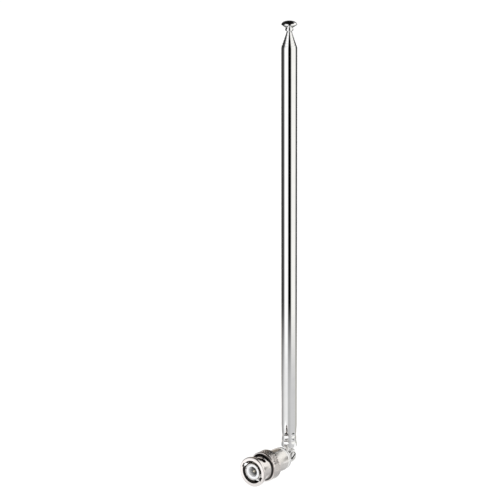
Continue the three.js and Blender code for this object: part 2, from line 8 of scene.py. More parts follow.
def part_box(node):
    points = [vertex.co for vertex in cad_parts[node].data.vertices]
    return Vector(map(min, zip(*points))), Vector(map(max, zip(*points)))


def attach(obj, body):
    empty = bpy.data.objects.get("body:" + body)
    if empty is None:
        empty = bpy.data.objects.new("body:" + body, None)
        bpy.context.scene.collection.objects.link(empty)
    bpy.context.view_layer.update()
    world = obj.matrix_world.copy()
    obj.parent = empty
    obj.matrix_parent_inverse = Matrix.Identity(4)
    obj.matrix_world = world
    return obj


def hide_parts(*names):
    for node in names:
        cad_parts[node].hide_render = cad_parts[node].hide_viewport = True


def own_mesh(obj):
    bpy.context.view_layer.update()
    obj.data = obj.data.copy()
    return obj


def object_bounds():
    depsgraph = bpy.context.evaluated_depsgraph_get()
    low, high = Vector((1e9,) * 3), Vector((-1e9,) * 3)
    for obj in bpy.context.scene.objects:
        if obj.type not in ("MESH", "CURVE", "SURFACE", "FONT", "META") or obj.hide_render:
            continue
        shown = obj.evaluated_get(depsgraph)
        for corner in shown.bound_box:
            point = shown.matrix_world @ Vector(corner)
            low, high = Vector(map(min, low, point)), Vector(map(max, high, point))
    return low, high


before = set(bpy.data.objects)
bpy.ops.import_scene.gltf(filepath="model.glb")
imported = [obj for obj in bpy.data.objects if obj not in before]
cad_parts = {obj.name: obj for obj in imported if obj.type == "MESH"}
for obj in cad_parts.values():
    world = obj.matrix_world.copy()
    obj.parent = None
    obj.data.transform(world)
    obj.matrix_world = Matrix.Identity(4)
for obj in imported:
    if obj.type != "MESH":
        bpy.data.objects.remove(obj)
cad_low, cad_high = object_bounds()

# ---- Studio -------------------------------------------------------------------------------
# The aerial is held by its plug well above a pale floor, in a round light tent of white cloth
# with a dark gap at the camera and dark cloth behind, which the bright metal shows as bands.
mm = 0.001
elbow_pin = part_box("hinge_screw")
pin_place = (elbow_pin[0].y + elbow_pin[1].y) / 2
camera_azimuth = math.radians(37.35)
camera_elevation = math.radians(14.44)
camera_roll = math.radians(-0.26)
camera_distance = 911 * mm
aim_left_of_mast = 18.06 * mm
aim_height = 100.19 * mm
focal_length = 142.2

camera_right = Vector((math.cos(camera_azimuth), math.sin(camera_azimuth), 0))
camera_back = Vector((
    math.sin(camera_azimuth) * math.cos(camera_elevation),
    -math.cos(camera_azimuth) * math.cos(camera_elevation),
    math.sin(camera_elevation),
))
camera_up = camera_back.cross(camera_right)
aim = Vector((0, pin_place, aim_height)) - aim_left_of_mast * camera_right
rolled_right = math.cos(camera_roll) * camera_right + math.sin(camera_roll) * camera_up
rolled_up = camera_back.cross(rolled_right)
camera_data = bpy.data.cameras.new("camera")
camera_data.lens = focal_length
camera_data.clip_start = 0.01
camera = bpy.data.objects.new("camera", camera_data)
bpy.context.scene.collection.objects.link(camera)
camera.matrix_world = Matrix.Translation(aim + camera_distance * camera_back) @ (
    Matrix((rolled_right, rolled_up, camera_back)).transposed().to_4x4()
)
bpy.context.scene.camera = camera
bpy.context.scene.view_settings.view_transform = "Standard"


def node(tree, kind, inputs=(), **settings):
    """A shader node with its settings, and its inputs joined to sockets or set to values."""
    made = tree.nodes.new("ShaderNode" + kind)
    for key, value in settings.items():
        setattr(made, key, value)
    for key, value in dict(inputs).items():
        if isinstance(value, bpy.types.NodeSocket):
            tree.links.new(value, made.inputs[key])
        else:
            made.inputs[key].default_value = value
    return made


def graded(tree, value, span, shades=(0.0, 1.0), smooth=False):
    """Goes from the first shade to the second as a value crosses a span."""
    return node(tree, "MapRange", {
        "Value": value, "From Min": span[0], "From Max": span[1],
        "To Min": shades[0], "To Max": shades[1],
    }, interpolation_type="SMOOTHSTEP" if smooth else "LINEAR").outputs["Result"]


def worked(tree, operation, first, second):
    """The result of one operation on two values."""
    return node(tree, "Math", {0: first, 1: second}, operation=operation).outputs[0]


def ramp(tree, factor, stops):
    """A colour ramp through (position, colour) stops."""
    made = node(tree, "ValToRGB", {"Fac": factor})
    elements = made.color_ramp.elements
    while len(elements) < len(stops):
        elements.new(0.5)
    for element, (position, colour) in zip(elements, stops):
        element.position = position
        element.color = (*colour, 1)
    return made.outputs["Color"]


def grey(level, warmth=0.0):
    """A grey colour, with less blue where warmth is above 0."""
    return (level, level * (1 - 0.3 * warmth), level * (1 - 1.6 * warmth))


def turn_share(degrees):
    """Where a bearing from the camera, positive to its right, lies on a ramp round the tent."""
    return degrees / 360 + 0.5


def bearing(tree, vector):
    """Share of a turn round the tent, 0.5 towards the camera, of a direction from the mast."""
    turned_back = node(tree, "VectorRotate", {"Vector": vector, "Angle": -camera_azimuth},
                       rotation_type="Z_AXIS")
    parts = node(tree, "SeparateXYZ", {"Vector": turned_back.outputs[0]})
    towards = worked(tree, "MULTIPLY", parts.outputs["Y"], -1.0)
    angle = worked(tree, "ARCTAN2", parts.outputs["X"], towards)
    return graded(tree, angle, (-math.pi, math.pi))


tent_walls = [
    (turn_share(-180), grey(0.045)),
    (turn_share(-88), grey(0.05)),
    (turn_share(-68), grey(0.85)),
    (turn_share(-55), grey(1.15)),
    (turn_share(-26), grey(1.1)),
    (turn_share(-11), grey(0.0)),
    (turn_share(21), grey(0.0)),
    (turn_share(34), grey(0.95, 0.03)),
    (turn_share(98), grey(0.95, 0.03)),
    (turn_share(112), grey(0.05)),
    (turn_share(180), grey(0.045)),
]
tent_upper_walls = [
    (turn_share(-180), grey(0.015)),
    (turn_share(-88), grey(0.02)),
    (turn_share(-68), grey(0.85)),
    (turn_share(-26), grey(1.1)),
    (turn_share(-11), grey(0.0)),
    (turn_share(21), grey(0.0)),
    (turn_share(34), grey(0.95, 0.02)),
    (turn_share(140), grey(1.0, 0.02)),
    (turn_share(158), grey(0.03)),
    (turn_share(180), grey(0.015)),
]
upper_walls_rise = (0.12, 0.28)
roof_rise = (0.66, 0.74)
roof_tone = 0.005
even_strength = 1.12
world = bpy.data.worlds.new("light_tent")
bpy.context.scene.world = world
world.use_nodes = True
tree = world.node_tree
tree.nodes.clear()
direction = node(tree, "TexCoord").outputs["Generated"]
height = node(tree, "SeparateXYZ", {"Vector": direction}).outputs["Z"]
share = bearing(tree, direction)
upper_share = graded(tree, height, upper_walls_rise, smooth=True)
walls = node(tree, "Mix", {"Factor": upper_share, "A": ramp(tree, share, tent_walls),
                           "B": ramp(tree, share, tent_upper_walls)}, data_type="RGBA")
roof_share = graded(tree, height, roof_rise, smooth=True)
tent = node(tree, "Mix", {"Factor": roof_share, "A": walls.outputs["Result"],
                          "B": (*grey(roof_tone), 1)}, data_type="RGBA")
tent_light = node(tree, "Background", {"Color": tent.outputs["Result"]})
even_light = node(tree, "Background", {"Color": (1, 1, 1, 1), "Strength": even_strength})
rays = node(tree, "LightPath")
mixed = node(tree, "MixShader", {0: rays.outputs["Is Glossy Ray"], 1: even_light.outputs[0],
                                 2: tent_light.outputs[0]})
node(tree, "OutputWorld", {"Surface": mixed.outputs[0]})


def sheet(name, mesh, paint):
    """A flat sheet of the studio as an object, with its paint."""
    data = bpy.data.meshes.new(name)
    mesh.to_mesh(data)
    mesh.free()
    data.materials.append(paint)
    made = bpy.data.objects.new(name, data)
    bpy.context.scene.collection.objects.link(made)
    return made


floor_below = 1.3
floor_half_width = 12
floor_paint = bpy.data.materials.new("pale_floor")
floor_paint.use_nodes = True
surface = floor_paint.node_tree.nodes["Principled BSDF"]
surface.inputs["Base Color"].default_value = (*grey(0.96), 1)
surface.inputs["Roughness"].default_value = 1
floor_mesh = bmesh.new()
bmesh.ops.create_grid(floor_mesh, x_segments=1, y_segments=1, size=floor_half_width,
                      matrix=Matrix.Translation((0, 0, -floor_below)))
floor = sheet("floor", floor_mesh, floor_paint)
floor.visible_glossy = False


def light_paint(name):
    """A material that is still without its light, and that light's tree."""
    paint = bpy.data.materials.new(name)
    paint.use_nodes = True
    paint.node_tree.nodes.clear()
    return paint, paint.node_tree


def show_in_metal_only(piece):
    """Hides a studio sheet from all but mirror-like reflections."""
    piece.visible_camera = False
    piece.visible_diffuse = False
    piece.visible_shadow = False
    piece.visible_transmission = False


# The white card under the aerial is seen only in the metal: bright near the plug, and shading
# into the tent's own walls towards its edge.
card_radius = 340 * mm
card_below = 1 * mm
card_centre = Vector((0, pin_place, cad_low.z - card_below))
card_fade = (110 * mm, 320 * mm)
spot_core = 0.7
card_light = [
    (turn_share(-180), grey(0.30)),
    (turn_share(-110), grey(0.34)),
    (turn_share(-70), grey(0.80)),
    (turn_share(-30), grey(0.86)),
    (turn_share(-8), grey(0.45)),
    (turn_share(30), grey(0.6)),
    (turn_share(95), grey(0.6)),
    (turn_share(112), grey(0.5, 0.06)),
    (turn_share(140), grey(0.4, 0.06)),
    (turn_share(180), grey(0.24, 0.06)),
]
card_spots = [
    (Vector((22, 54, 0)), 17, grey(1.05)),
    (Vector((-18, -26, 0)), 22, grey(1.1)),
]
card_paint, tree = light_paint("card_light")
place = node(tree, "VectorMath", {0: node(tree, "TexCoord").outputs["Object"], 1: card_centre},
             operation="SUBTRACT").outputs[0]
share = bearing(tree, place)
reach = node(tree, "VectorMath", {0: place}, operation="LENGTH").outputs["Value"]
far = graded(tree, reach, card_fade, smooth=True)
shaded = node(tree, "Mix", {"Factor": far, "A": ramp(tree, share, card_light),
                            "B": ramp(tree, share, tent_walls)}, data_type="RGBA")
painted = shaded.outputs["Result"]
on_card = node(tree, "VectorMath", {0: place, 1: (0, pin_place, 0)}, operation="ADD").outputs[0]
for centre, spot_radius, light in card_spots:
    away = node(tree, "VectorMath", {0: on_card, 1: centre * mm}, operation="DISTANCE")
    inside = graded(tree, away.outputs["Value"],
                    (spot_core * spot_radius * mm, spot_radius * mm), (1.0, 0.0))
    painted = node(tree, "Mix", {"Factor": inside, "A": painted, "B": (*light, 1)},
                   data_type="RGBA").outputs["Result"]
glow = node(tree, "Emission", {"Color": painted})
node(tree, "OutputMaterial", {"Surface": glow.outputs[0]})
card_mesh = bmesh.new()
bmesh.ops.create_circle(card_mesh, cap_ends=True, radius=card_radius, segments=96,
                        matrix=Matrix.Translation(card_centre))
card = sheet("white_card", card_mesh, card_paint)
show_in_metal_only(card)

# A low board stands close behind the plug, pale at its foot and brown above, also seen only in
# the metal.
board_half_width = 26 * mm
board_away = 60 * mm
board_high = 52 * mm
plug_middle = 10 * mm
board_paint, tree = light_paint("board_light")
board_place = node(tree, "SeparateXYZ", {"Vector": node(tree, "TexCoord").outputs["Object"]})
board_share = graded(tree, board_place.outputs["Z"], (0.0, board_high))
board_tones = ramp(tree, board_share, [(0.22, (0.8, 0.75, 0.72)), (0.4, (0.27, 0.24, 0.20))])
glow = node(tree, "Emission", {"Color": board_tones})
node(tree, "OutputMaterial", {"Surface": glow.outputs[0]})
board_mesh = bmesh.new()
bmesh.ops.create_grid(board_mesh, x_segments=1, y_segments=1, size=1, matrix=(
    Matrix.Translation((0, plug_middle, (board_high + cad_low.z) / 2))
    @ Matrix.Rotation(camera_azimuth, 4, "Z")
    @ Matrix.Translation((0, board_away, 0))
    @ Matrix.Rotation(math.radians(90), 4, "X")
    @ Matrix.Diagonal((board_half_width, (board_high - cad_low.z) / 2, 1, 1))))
board = sheet("pale_board", board_mesh, board_paint)
show_in_metal_only(board)

# ---- Plug shell ---------------------------------------------------------------------------
# The turned brass body of the plug, nickel plated: a front flange and slim neck inside the nut,
# then the smooth barrel that shows behind it, bored out at the rear for the elbow's bush.
plug_steps = 160
plug_axis = (0, 1, 0)
mast_axis = (0, 0, 1)


def box_mm(node_name):
    """The low and the high corner of a node's box, in millimetres."""
    return tuple(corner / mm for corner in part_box(node_name))


def turned(profile, axis=plug_axis, steps=plug_steps, sweep=360):
    """A turned piece, in millimetres. A profile row is radius, place along the axis, and the
    rounding of that corner; a profile that is off the axis closes on itself."""
    shape = bmesh.new()
    corners = []
    for radius, at, *_ in profile:
        corners.append(shape.verts.new((radius, at, 0) if axis == plug_axis
                                       else (radius, pin_place / mm, at)))
    hollow = profile[0][0] > 0
    for first, second in zip(corners, corners[1:] + corners[:1]):
        if second is not corners[0] or hollow:
            shape.edges.new((first, second))
    rounds = {}
    for corner, row in zip(corners, profile):
        if len(row) > 2:
            rounds.setdefault(row[2], []).append(corner)
    for rounding, group in rounds.items():
        bmesh.ops.bevel(shape, geom=group, offset=rounding, offset_type="OFFSET", segments=4,
                        profile=0.5, affect="VERTICES", clamp_overlap=True, material=-1)
    centre = (0, 0, 0) if axis == plug_axis else (0, pin_place / mm, 0)
    whole = sweep == 360
    if not whole:
        bmesh.ops.edgeloop_fill(shape, edges=shape.edges[:])
    bmesh.ops.spin(shape, geom=shape.verts[:] + shape.edges[:] + shape.faces[:], cent=centre,
                   axis=axis, dvec=(0, 0, 0), angle=math.radians(sweep), steps=steps,
                   use_merge=whole, use_duplicate=False)
    return closed(shape)


def closed(shape):
    """Merges doubled corners, drops the slivers they leave, and points the faces outwards."""
    bmesh.ops.remove_doubles(shape, verts=shape.verts[:], dist=0.0005)
    bmesh.ops.dissolve_degenerate(shape, edges=shape.edges[:], dist=0.0004)
    bmesh.ops.holes_fill(shape, edges=shape.edges[:], sides=0)
    bmesh.ops.recalc_face_normals(shape, faces=shape.faces[:])
    if shape.calc_volume(signed=True) < 0:
        bmesh.ops.reverse_faces(shape, faces=shape.faces[:])
    return shape


def machined(shape, tool, operation="DIFFERENCE"):
    """The shape after a tool shape is cut from it or joined to it."""
    work = []
    for part in (shape, tool):
        data = bpy.data.meshes.new("work")
        part.to_mesh(data)
        part.free()
        work.append(bpy.data.objects.new("work", data))
        bpy.context.scene.collection.objects.link(work[-1])
    boolean = work[0].modifiers.new("machined", "BOOLEAN")
    boolean.object = work[1]
    boolean.operation = operation
    boolean.solver = "EXACT"
    result = bmesh.new()
    result.from_object(work[0], bpy.context.evaluated_depsgraph_get())
    for piece in work:
        data = piece.data
        bpy.data.objects.remove(piece)
        bpy.data.meshes.remove(data)
    return closed(result)


def finished(name, shape, paint, sharp=32):
    """The piece as an object in metres, smooth but for its sharp corners."""
    bmesh.ops.scale(shape, vec=(mm, mm, mm), verts=shape.verts[:])
    data = bpy.data.meshes.new(name)
    shape.to_mesh(data)
    shape.free()
    data.shade_smooth()
    data.set_sharp_from_angle(angle=math.radians(sharp))
    data.materials.append(paint)
    piece = bpy.data.objects.new(name, data)
    bpy.context.scene.collection.objects.link(piece)
    return piece


def new_group(name, inputs, outputs):
    """An empty shader node group with its sockets."""
    made = bpy.data.node_groups.new(name, "ShaderNodeTree")
    for way, sockets in (("INPUT", inputs), ("OUTPUT", outputs)):
        for label, kind in sockets:
            made.interface.new_socket(name=label, in_out=way, socket_type="NodeSocket" + kind)
    return made, made.nodes.new("NodeGroupInput").outputs, made.nodes.new("NodeGroupOutput")


# Plating: a cloudy change of tone, hazy and clear patches, and fine marks along the lay.
plating, given, result = new_group(
    "plating",
    [("Place", "Vector"), ("Lay", "Vector"), ("Bright", "Color"), ("Dull", "Color"),
     ("Clear", "Float"), ("Haze", "Float")],
    [("Color", "Color"), ("Roughness", "Float"), ("Height", "Float")])
clouds = node(plating, "TexNoise", {"Vector": given["Place"], "Scale": 210.0, "Detail": 4.0,
                                    "Roughness": 0.55})
smears = node(plating, "TexNoise", {"Vector": given["Place"], "Scale": 620.0, "Detail": 5.0,
                                    "Distortion": 0.6})
marks = node(plating, "TexNoise", {"Vector": given["Lay"], "Scale": 1.0, "Detail": 3.0})
cloud_share = graded(plating, clouds.outputs[0], (0.38, 0.68))
tone = node(plating, "Mix", {"Factor": cloud_share, "A": given["Bright"],
                             "B": given["Dull"]}, data_type="RGBA")
haze_share = graded(plating, smears.outputs[0], (0.42, 0.72))
mark_share = graded(plating, marks.outputs[0], (0.35, 0.75))
mean = worked(plating, "MULTIPLY", worked(plating, "ADD", haze_share, mark_share), 0.5)
rough = graded(plating, mean, (0.0, 1.0), (given["Clear"], given["Haze"]))
plating.links.new(tone.outputs["Result"], result.inputs["Color"])
plating.links.new(rough, result.inputs["Roughness"])
plating.links.new(marks.outputs[0], result.inputs["Height"])

# Lathe lay: marks that run round the plug's axis, so they change only with radius and place.
lathe_lay, given, result = new_group(
    "lathe_lay", [("Place", "Vector"), ("Spacing", "Float")], [("Lay", "Vector")])
split = node(lathe_lay, "SeparateXYZ", {"Vector": given["Place"]})
flat = node(lathe_lay, "CombineXYZ", {"X": split.outputs["X"], "Z": split.outputs["Z"]})
radius = node(lathe_lay, "VectorMath", {0: flat.outputs[0]}, operation="LENGTH")
lay = node(lathe_lay, "CombineXYZ", {"X": radius.outputs["Value"], "Y": split.outputs["Y"]})
spaced = node(lathe_lay, "VectorMath", {0: lay.outputs[0], "Scale": given["Spacing"]},
              operation="SCALE")
lathe_lay.links.new(spaced.outputs[0], result.inputs["Lay"])


def plated(name, bright, dull, clear, haze, mark_depth=0.002, along=None):
    """Plated metal. Its marks run round the lathe's axis, or are stretched along a tube."""
    paint = bpy.data.materials.new(name)
    paint.use_nodes = True
    tree = paint.node_tree
    place = node(tree, "TexCoord").outputs["Object"]
    if along:
        lines = node(tree, "Mapping", {"Vector": place, "Scale": along}).outputs[0]
    else:
        lines = node(tree, "Group", {"Place": place, "Spacing": 9000.0},
                     node_tree=lathe_lay).outputs["Lay"]
    coat = node(tree, "Group", {"Place": place, "Lay": lines, "Bright": (*bright, 1),
                                "Dull": (*dull, 1), "Clear": clear, "Haze": haze},
                node_tree=plating)
    surface = tree.nodes["Principled BSDF"]
    surface.inputs["Metallic"].default_value = 1
    tree.links.new(coat.outputs["Color"], surface.inputs["Base Color"])
    tree.links.new(coat.outputs["Roughness"], surface.inputs["Roughness"])
    relief = node(tree, "Bump", {"Height": coat.outputs["Height"], "Strength": 1.0,
                                 "Distance": mark_depth * mm})
    tree.links.new(relief.outputs[0], surface.inputs["Normal"])
    return paint


plug_nickel = plated("plug_nickel", (0.91, 0.885, 0.86), (0.86, 0.83, 0.80), 0.20, 0.34)

shell_low, shell_high = box_mm("plug_shell")
nut_low, nut_high = box_mm("coupling_nut")
bush_low, bush_high = box_mm("insulating_bush")
sleeve_high = box_mm("outer_contact")[1]
press_gap = 0.03
face_gap = 0.05
tail_gap = 0.3
barrel_front = nut_high.y + tail_gap
barrel_radius = 5.5
bush_bore = 3.6
web_front = bush_low.y - 1
web_bore = 1.8
sleeve_wall = 0.35
neck_wall = 0.67
shell_neck = sleeve_high.x + neck_wall
flange_thickness = 1.3
shell = turned([
    (sleeve_high.x + press_gap, shell_low.y),
    (shell_high.x, shell_low.y, 0.1),
    (shell_high.x, shell_low.y + flange_thickness, 0.1),
    (shell_neck, shell_low.y + flange_thickness),
    (shell_neck, barrel_front, 0.15),
    (barrel_radius, barrel_front, 0.3),
    (barrel_radius, shell_high.y, 0.35),
    (bush_bore, shell_high.y, 0.1),
    (bush_bore, bush_low.y - face_gap),
    (web_bore, bush_low.y - face_gap),
    (web_bore, web_front),
    (sleeve_high.x - sleeve_wall, web_front),
    (sleeve_high.x - sleeve_wall, sleeve_high.y + face_gap),
    (sleeve_high.x + press_gap, sleeve_high.y + face_gap),
])
piece = finished("plug_shell_turned", shell, plug_nickel)
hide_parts("plug_shell")
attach(piece, "plug")

# ---- Outer contact ------------------------------------------------------------------------
# A thin springy brass sleeve, nickel plated and pressed into the shell. Three saw cuts across it
# split its front into six fingers that grip inside the socket.
gasket_low, gasket_high = box_mm("gasket")
saw_cuts = 3
saw_width = 0.35
mouth_floor = gasket_low.y - 0.4
nose_length = 0.5
nose_taper = 0.12
sleeve = turned([
    (sleeve_high.x - sleeve_wall, 0, 0.08),
    (sleeve_high.x - nose_taper, 0, 0.08),
    (sleeve_high.x, nose_length, 0.2),
    (sleeve_high.x, sleeve_high.y),
    (sleeve_high.x - sleeve_wall, sleeve_high.y),
])
for cut in range(saw_cuts):
    saw = bmesh.new()
    bmesh.ops.create_cube(saw, size=1, matrix=Matrix.Rotation(
        math.radians((cut + 0.25) * 180 / saw_cuts), 4, "Y") @ Matrix.Diagonal(
            (4 * sleeve_high.x, 2 * mouth_floor, saw_width, 1)))
    sleeve = machined(sleeve, saw)
piece = finished("outer_contact_fingers", sleeve, plug_nickel)
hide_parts("outer_contact")
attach(piece, "plug")

# ---- Front insulator ----------------------------------------------------------------------
# A white fluoroplastic tube inside the sleeve, counterbored for the socket's own insulator. Its
# white turns to grey with depth, as little light gets down to the bottom of the mouth.
insulator_low, insulator_high = box_mm("front_insulator")
mouth_radius = 2.47
seat_wall = 0.4
pin_back_radius = 0.95
pin_radius = 0.675
shade_depth = (0.3, 4.5)

# Mottle: the tone and the roughness of a moulded piece drift a little over its surface.
mottle, given, result = new_group(
    "mottle",
    [("Place", "Vector"), ("Scale", "Float"), ("Detail", "Float"), ("Dark", "Color"),
     ("Light", "Color"), ("From", "Float"), ("To", "Float"), ("Smooth", "Float"),
     ("Rough", "Float")],
    [("Color", "Color"), ("Roughness", "Float"), ("Height", "Float")])
drift = node(mottle, "TexNoise", {"Vector": given["Place"], "Scale": given["Scale"],
                                  "Detail": given["Detail"]}).outputs[0]
light_share = graded(mottle, drift, (given["From"], given["To"]))
tone = node(mottle, "Mix", {"Factor": light_share, "A": given["Dark"],
                            "B": given["Light"]}, data_type="RGBA")
rough = graded(mottle, drift, (0.0, 1.0), (given["Smooth"], given["Rough"]))
mottle.links.new(tone.outputs["Result"], result.inputs["Color"])
mottle.links.new(rough, result.inputs["Roughness"])
mottle.links.new(drift, result.inputs["Height"])


def moulded(name, tones, drift_range, rough_range, scale, detail=5.0):
    """A moulded material, and the height of its mottle."""
    paint = bpy.data.materials.new(name)
    paint.use_nodes = True
    tree = paint.node_tree
    skin = node(tree, "Group", {
        "Place": node(tree, "TexCoord").outputs["Object"], "Scale": scale, "Detail": detail,
        "Dark": (*tones[0], 1), "Light": (*tones[1], 1), "From": drift_range[0],
        "To": drift_range[1], "Smooth": rough_range[0], "Rough": rough_range[1],
    }, node_tree=mottle)
    surface = tree.nodes["Principled BSDF"]
    tree.links.new(skin.outputs["Color"], surface.inputs["Base Color"])
    tree.links.new(skin.outputs["Roughness"], surface.inputs["Roughness"])
    return paint, skin.outputs["Height"]


def mix_painted_shade(paint, share, colour):
    """Mixes painted shade, or a painted dark reflection, into a paint's colour, by a share that
    changes over the piece.
    """
    tree = paint.node_tree
    base = tree.nodes["Principled BSDF"].inputs["Base Color"]
    mixed = node(tree, "Mix", {"Factor": share, "A": base.links[0].from_socket,
                               "B": (*colour, 1)}, data_type="RGBA")
    tree.links.new(mixed.outputs["Result"], base)


def object_place(tree):
    """The parts of a place on the piece, in metres."""
    return node(tree, "SeparateXYZ", {"Vector": node(tree, "TexCoord").outputs["Object"]}).outputs


fluoroplastic = moulded("fluoroplastic", ((0.84, 0.84, 0.855), (0.93, 0.93, 0.94)),
                        (0.35, 0.7), (0.3, 0.5), scale=380.0)[0]
tree = fluoroplastic.node_tree
# Painted shade: the white is mixed to grey deeper in the mouth, where little light gets down.
depth = graded(tree, object_place(tree)["Y"],
               [(insulator_low.y + shade) * mm for shade in shade_depth])
mix_painted_shade(fluoroplastic, depth, (0.20, 0.20, 0.205))
insulator = turned([
    (mouth_radius, insulator_low.y, 0.12),
    (insulator_high.x, insulator_low.y, 0.15),
    (insulator_high.x, insulator_high.y),
    (pin_back_radius + press_gap, insulator_high.y),
    (pin_back_radius + press_gap, mouth_floor + seat_wall),
    (pin_radius + press_gap, mouth_floor + seat_wall),
    (pin_radius + press_gap, mouth_floor, 0.08),
    (mouth_radius, mouth_floor, 0.15),
], steps=96)
piece = finished("front_insulator_tube", insulator, fluoroplastic)
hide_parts("front_insulator")
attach(piece, "plug")

# ---- Centre contact -----------------------------------------------------------------------
# The pin, turned from brass with a thin pale gold flash: a rounded nose, the slim front part, a
# thicker seat in the insulator, and a tail that enters the elbow's stud.
contact_low, contact_high = box_mm("centre_contact")
nose_radius = 0.34
nose_reach = 0.7
tail_radius = 0.6
seat_front = mouth_floor + seat_wall + press_gap
seat_rear = insulator_high.y + 0.2
contact_gold = plated("contact_gold", (0.86, 0.80, 0.68), (0.70, 0.64, 0.50), 0.18, 0.32)
contact = turned([
    (0, contact_low.y),
    (nose_radius, contact_low.y, 0.2),
    (pin_radius, contact_low.y + nose_reach, 0.3),
    (pin_radius, seat_front),
    (pin_back_radius, seat_front, 0.05),
    (pin_back_radius, seat_rear, 0.1),
    (tail_radius, seat_rear),
    (tail_radius, contact_high.y, 0.15),
    (0, contact_high.y),
], steps=48)
piece = finished("centre_contact_pin", contact, contact_gold)
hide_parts("centre_contact")
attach(piece, "plug")

# ---- Gasket -------------------------------------------------------------------------------
# A dark red silicone ring at the bottom of the mouth, which seals against the socket and shows
# through the nut's two lug tracks.
silicone, dust = moulded("red_silicone", ((0.030, 0.008, 0.006), (0.070, 0.020, 0.015)),
                         (0.3, 0.75), (0.5, 0.8), scale=900.0, detail=6.0)
tree = silicone.node_tree
skin = node(tree, "Bump", {"Height": dust, "Strength": 0.6, "Distance": 0.03 * mm})
tree.links.new(skin.outputs[0], tree.nodes["Principled BSDF"].inputs["Normal"])
seal = turned([
    (sleeve_high.x + press_gap, gasket_low.y, 0.1),
    (gasket_high.x, gasket_low.y, 0.35),
    (gasket_high.x, gasket_high.y, 0.1),
    (sleeve_high.x + press_gap, gasket_high.y),
], steps=96)
piece = finished("gasket_ring", seal, silicone)
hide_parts("gasket")
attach(piece, "plug")

# ---- Washers and retaining ring -----------------------------------------------------------
# Inside the nut a wave washer presses on the shell's flange, a flat washer backs it, and a
# split ring in the nut's groove holds both. All three are spring steel strip.
spring_steel = plated("spring_steel", (0.62, 0.62, 0.63), (0.50, 0.50, 0.52), 0.25, 0.42)
wave_low, wave_high = box_mm("wave_washer")
turn_gap = 0.12
wave_inner = shell_neck + turn_gap
strip = 0.3
waves = 3
wave = turned([
    (wave_inner, wave_low.y, 0.04),
    (wave_high.x, wave_low.y, 0.04),
    (wave_high.x, wave_low.y + strip, 0.04),
    (wave_inner, wave_low.y + strip, 0.04),
], steps=144)
lift = (wave_high.y - wave_low.y - strip) / 2
for corner in wave.verts:
    bend = math.cos(waves * math.atan2(corner.co.x, corner.co.z))
    corner.co.y += lift * (1 + bend)
piece = finished("wave_washer_strip", wave, spring_steel)
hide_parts("wave_washer")
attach(piece, "plug")
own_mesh(piece)

thrust_low, thrust_high = box_mm("thrust_washer")
thrust = turned([
    (wave_inner, thrust_low.y, 0.08),
    (thrust_high.x, thrust_low.y, 0.08),
    (thrust_high.x, thrust_high.y, 0.08),
    (wave_inner, thrust_high.y, 0.08),
])
piece = finished("thrust_washer_flat", thrust, spring_steel)
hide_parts("thrust_washer")
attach(piece, "nut_carrier")

ring_low, ring_high = box_mm("retaining_ring")
ring_gap = 30
ring_inner = shell_neck + 0.36
ring = turned([
    (ring_inner, ring_low.y, 0.08),
    (-ring_low.x, ring_low.y, 0.08),
    (-ring_low.x, ring_high.y, 0.08),
    (ring_inner, ring_high.y, 0.08),
], steps=132, sweep=360 - ring_gap)
bmesh.ops.rotate(ring, cent=(0, 0, 0), matrix=Matrix.Rotation(
    math.radians(-ring_gap / 2), 3, "Y"), verts=ring.verts[:])
piece = finished("retaining_ring_split", ring, spring_steel)
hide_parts("retaining_ring")
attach(piece, "nut")

# ---- Coupling nut -------------------------------------------------------------------------
# One turned nickel-plated brass piece: a front rim, a slim neck with two bayonet tracks milled
# through it, and a diamond-knurled grip. Its bore and the knurl's grooves carry painted shade,
# and the hollow in front of the grip a painted dark reflection.
rim_radius = 7.05
rim_width = 1.6
neck_radius = 5.65
nut_bore = 4.9
nut_mouth = 5.45
mouth_depth = 1.5
rear_bore = 5.9
grip_width = 5.0
grip_radius = nut_high.x
grip_front = nut_high.y - grip_width
grip_chamfer = 0.26
fillet = 1.3
fillet_arcs = 10
fillet_rear = grip_front - 0.1
knurl_rows = 14
knurl_depth = 0.2
knurl_land = 0.4
knurl_front = grip_front + knurl_land
knurl_rear = nut_high.y - knurl_land
groove_front = ring_low.y - face_gap
groove_rear = ring_high.y + face_gap
groove_radius = -ring_low.x + face_gap
profile = [
    (nut_mouth, nut_low.y, 0.06),
    (rim_radius, nut_low.y, 0.3),
    (rim_radius, nut_low.y + rim_width, 0.3),
    (neck_radius, nut_low.y + rim_width, 0.15),
]
for step in range(fillet_arcs + 1):
    angle = math.pi / 2 * step / fillet_arcs
    profile.append((neck_radius + fillet * (1 - math.cos(angle)),
                    fillet_rear - fillet * (1 - math.sin(angle))))
nut = turned(profile + [
    (grip_radius - 0.03, grip_front + 0.16, 0.05),
    (grip_radius, knurl_front),
    (grip_radius, knurl_rear),
    (grip_radius, nut_high.y - grip_chamfer, 0.1),
    (grip_radius - grip_chamfer, nut_high.y, 0.1),
    (rear_bore, nut_high.y, 0.08),
    (rear_bore, groove_rear),
    (groove_radius, groove_rear),
    (groove_radius, groove_front),
    (rear_bore, groove_front),
    (rear_bore, grip_front),
    (nut_bore, grip_front),
    (nut_bore, nut_low.y + mouth_depth, 0.08),
    (nut_mouth, nut_low.y + mouth_depth - 0.5, 0.08),
])
crests = {corner for corner in nut.verts
          if abs(math.hypot(corner.co.x, corner.co.z) - grip_radius) < 0.01
          and knurl_front - 0.01 < corner.co.y < knurl_rear + 0.01}
bmesh.ops.subdivide_edges(nut, edges=[edge for edge in nut.edges if set(edge.verts) <= crests
                                      and abs(edge.verts[0].co.y - edge.verts[1].co.y) > 1],
                          cuts=knurl_rows - 1, use_grid_fill=True)

